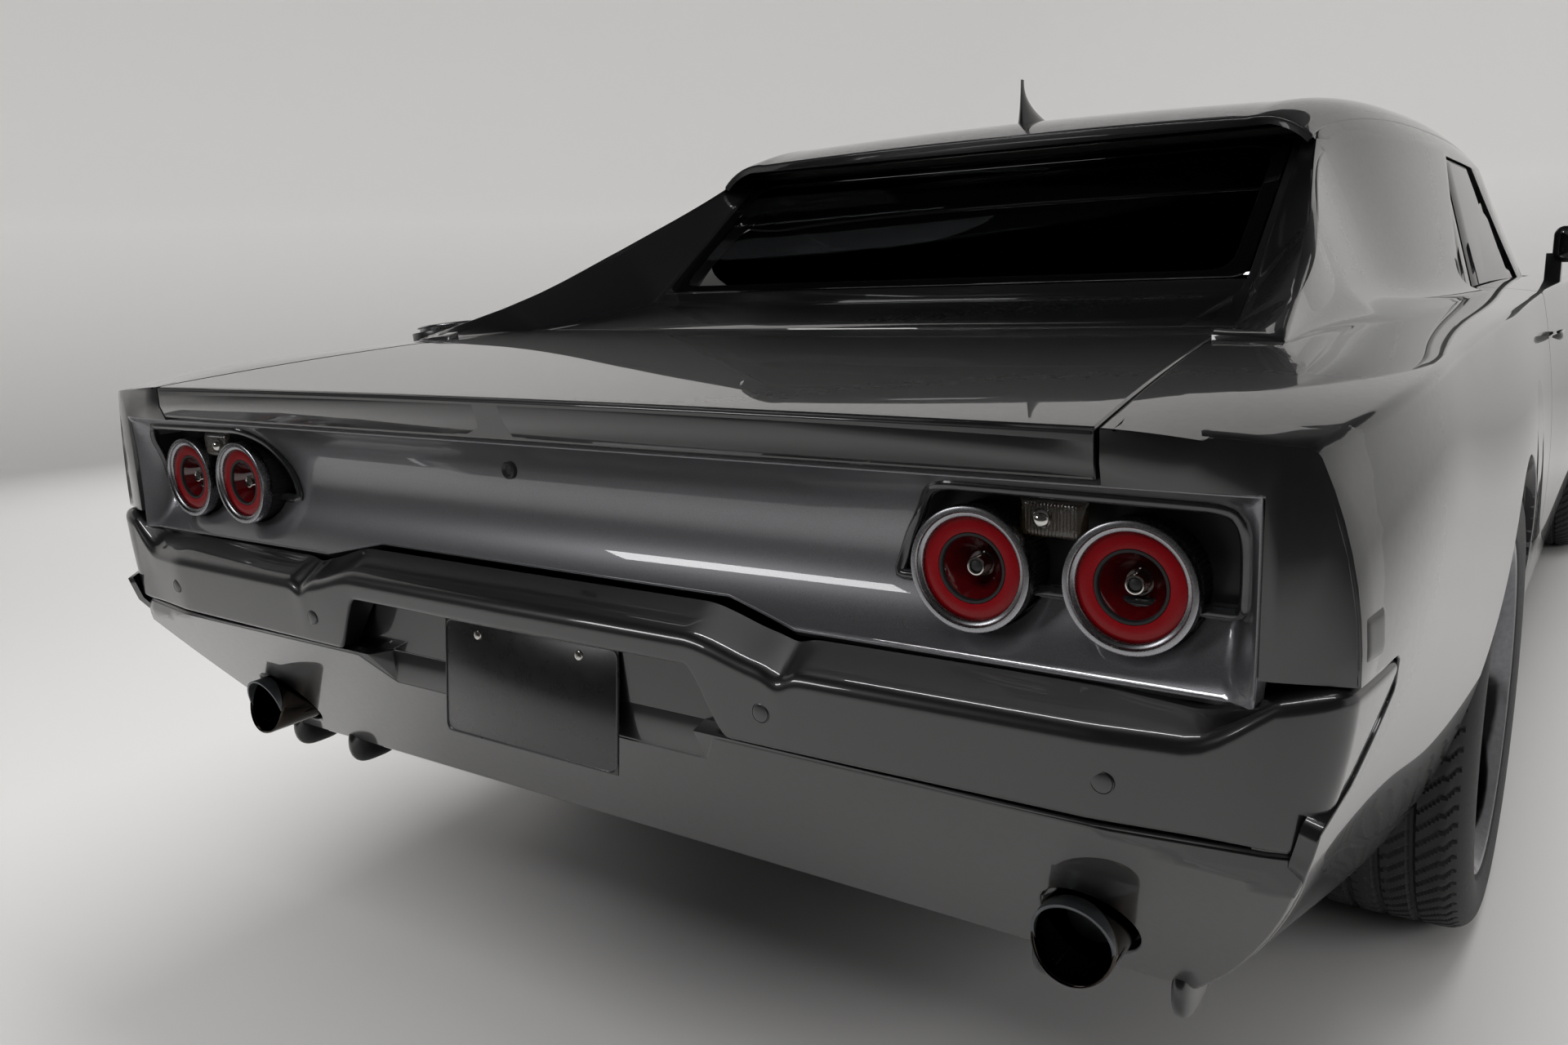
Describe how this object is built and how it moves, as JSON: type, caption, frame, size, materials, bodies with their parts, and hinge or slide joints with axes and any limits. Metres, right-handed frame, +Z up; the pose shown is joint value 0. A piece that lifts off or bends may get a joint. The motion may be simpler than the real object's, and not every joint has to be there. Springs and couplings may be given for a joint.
{
  "type": "two-door fastback muscle car",
  "caption": "Low fastback coupe with sail panels, recessed rear window, round canister tail lamps, full-width grille, opening doors and lids, and steerable rolling wheels.",
  "frame": {"origin": "on the ground under the middle of the car's length, on its centre plane", "axes": "+X forward, +Y to the car's left, +Z up"},
  "size_m": [5.09, 2.07, 1.446],
  "materials": {
    "bare_floor": "satin black underbody paint",
    "black_plastic": "moulded black",
    "body_paint": "gloss black clear coat",
    "clear_lens": "clear lens",
    "dark_chrome": "dark polished",
    "gloss_black_plastic": "gloss black",
    "iron": "cast",
    "red_lens": "red moulded lens",
    "satin_metal": "machined satin",
    "seat_leather": "black leather",
    "steel": "plain steel",
    "tail_grey": "dark grey metallic",
    "tinted_glass": "dark tint",
    "tyre": "black rubber",
    "wheel_metal": "dark polished"
  },
  "bodies": {
    "body": {"floor_pan": "bare_floor", "quarter_panels": "body_paint", "rear_deck": "body_paint", "roof_panel": "body_paint", "scuttle_and_pillars": "body_paint", "rockers": "body_paint", "front_fenders": "body_paint", "nose_panel": "body_paint", "grille": "gloss_black_plastic", "headlamps": "clear_lens", "front_bumper": "body_paint", "tail_panel": "tail_grey", "tail_lamp_cans": "satin_metal", "tail_lamp_lenses": "red_lens", "rear_bumper": "body_paint", "rear_valance": "body_paint", "number_plate": "gloss_black_plastic", "exhaust_system": "dark_chrome", "fuel_tank": "steel", "rear_axle": "iron", "driveshaft": "steel", "front_suspension": "iron", "engine_block": "iron", "windshield": "tinted_glass", "rear_window": "tinted_glass", "quarter_windows": "tinted_glass", "dashboard": "black_plastic", "steering_wheel": "black_plastic", "front_seats": "seat_leather", "rear_seat": "seat_leather", "antenna_fin": "body_paint", "filler_ring": "satin_metal"},
    "door_left": {"door_left": "body_paint", "door_glass_left": "tinted_glass", "mirror_left": "body_paint"},
    "door_right": {"door_right": "body_paint", "door_glass_right": "tinted_glass", "mirror_right": "body_paint"},
    "hood": {"hood": "body_paint"},
    "trunk_lid": {"trunk_lid": "body_paint"},
    "filler_cap": {"filler_cap": "satin_metal"},
    "knuckle_left": {"knuckle_left": "iron"},
    "knuckle_right": {"knuckle_right": "iron"},
    "wheel_fl": {"wheel_fl": "wheel_metal", "tyre_fl": "tyre"},
    "wheel_fr": {"wheel_fr": "wheel_metal", "tyre_fr": "tyre"},
    "wheel_rl": {"wheel_rl": "wheel_metal", "tyre_rl": "tyre"},
    "wheel_rr": {"wheel_rr": "wheel_metal", "tyre_rr": "tyre"}
  },
  "joints": [
    {"name": "door_left_hinge", "type": "hinge", "parent": "body", "child": "door_left", "pos_m": [0.7975, 0.957, 0.6], "axis": [0, 0, -1], "range_deg": [0, 70]},
    {"name": "door_right_hinge", "type": "hinge", "parent": "body", "child": "door_right", "pos_m": [0.7975, -0.957, 0.6], "axis": [0, 0, 1], "range_deg": [0, 70]},
    {"name": "hood_hinge", "type": "hinge", "parent": "body", "child": "hood", "pos_m": [1.0425, 0, 0.985], "axis": [0, -1, 0], "range_deg": [0, 50]},
    {"name": "trunk_lid_hinge", "type": "hinge", "parent": "body", "child": "trunk_lid", "pos_m": [-1.8295, 0, 0.99], "axis": [0, 1, 0], "range_deg": [0, 70]},
    {"name": "filler_cap_hinge", "type": "hinge", "parent": "body", "child": "filler_cap", "pos_m": [-1.806, 0.8284, 1.00087], "axis": [0, 0.9945, -0.1045], "range_deg": [0, 90]},
    {"name": "steering_left", "type": "hinge", "parent": "body", "child": "knuckle_left", "pos_m": [1.605, 0.76, 0.36], "axis": [0, 0, 1], "range_deg": [-33, 33]},
    {"name": "steering_right", "type": "hinge", "parent": "body", "child": "knuckle_right", "pos_m": [1.605, -0.76, 0.36], "axis": [0, 0, 1], "range_deg": [-33, 33]},
    {"name": "roll_fl", "type": "hinge", "parent": "knuckle_left", "child": "wheel_fl", "pos_m": [1.605, 0.826, 0.36], "axis": [0, 1, 0], "continuous": true},
    {"name": "roll_fr", "type": "hinge", "parent": "knuckle_right", "child": "wheel_fr", "pos_m": [1.605, -0.826, 0.36], "axis": [0, 1, 0], "continuous": true},
    {"name": "roll_rl", "type": "hinge", "parent": "body", "child": "wheel_rl", "pos_m": [-1.345, 0.819, 0.36], "axis": [0, 1, 0], "continuous": true},
    {"name": "roll_rr", "type": "hinge", "parent": "body", "child": "wheel_rr", "pos_m": [-1.345, -0.819, 0.36], "axis": [0, 1, 0], "continuous": true}
  ],
  "couplings": [
    {"joint": "steering_right", "follows": "steering_left", "ratio": 1}
  ]
}
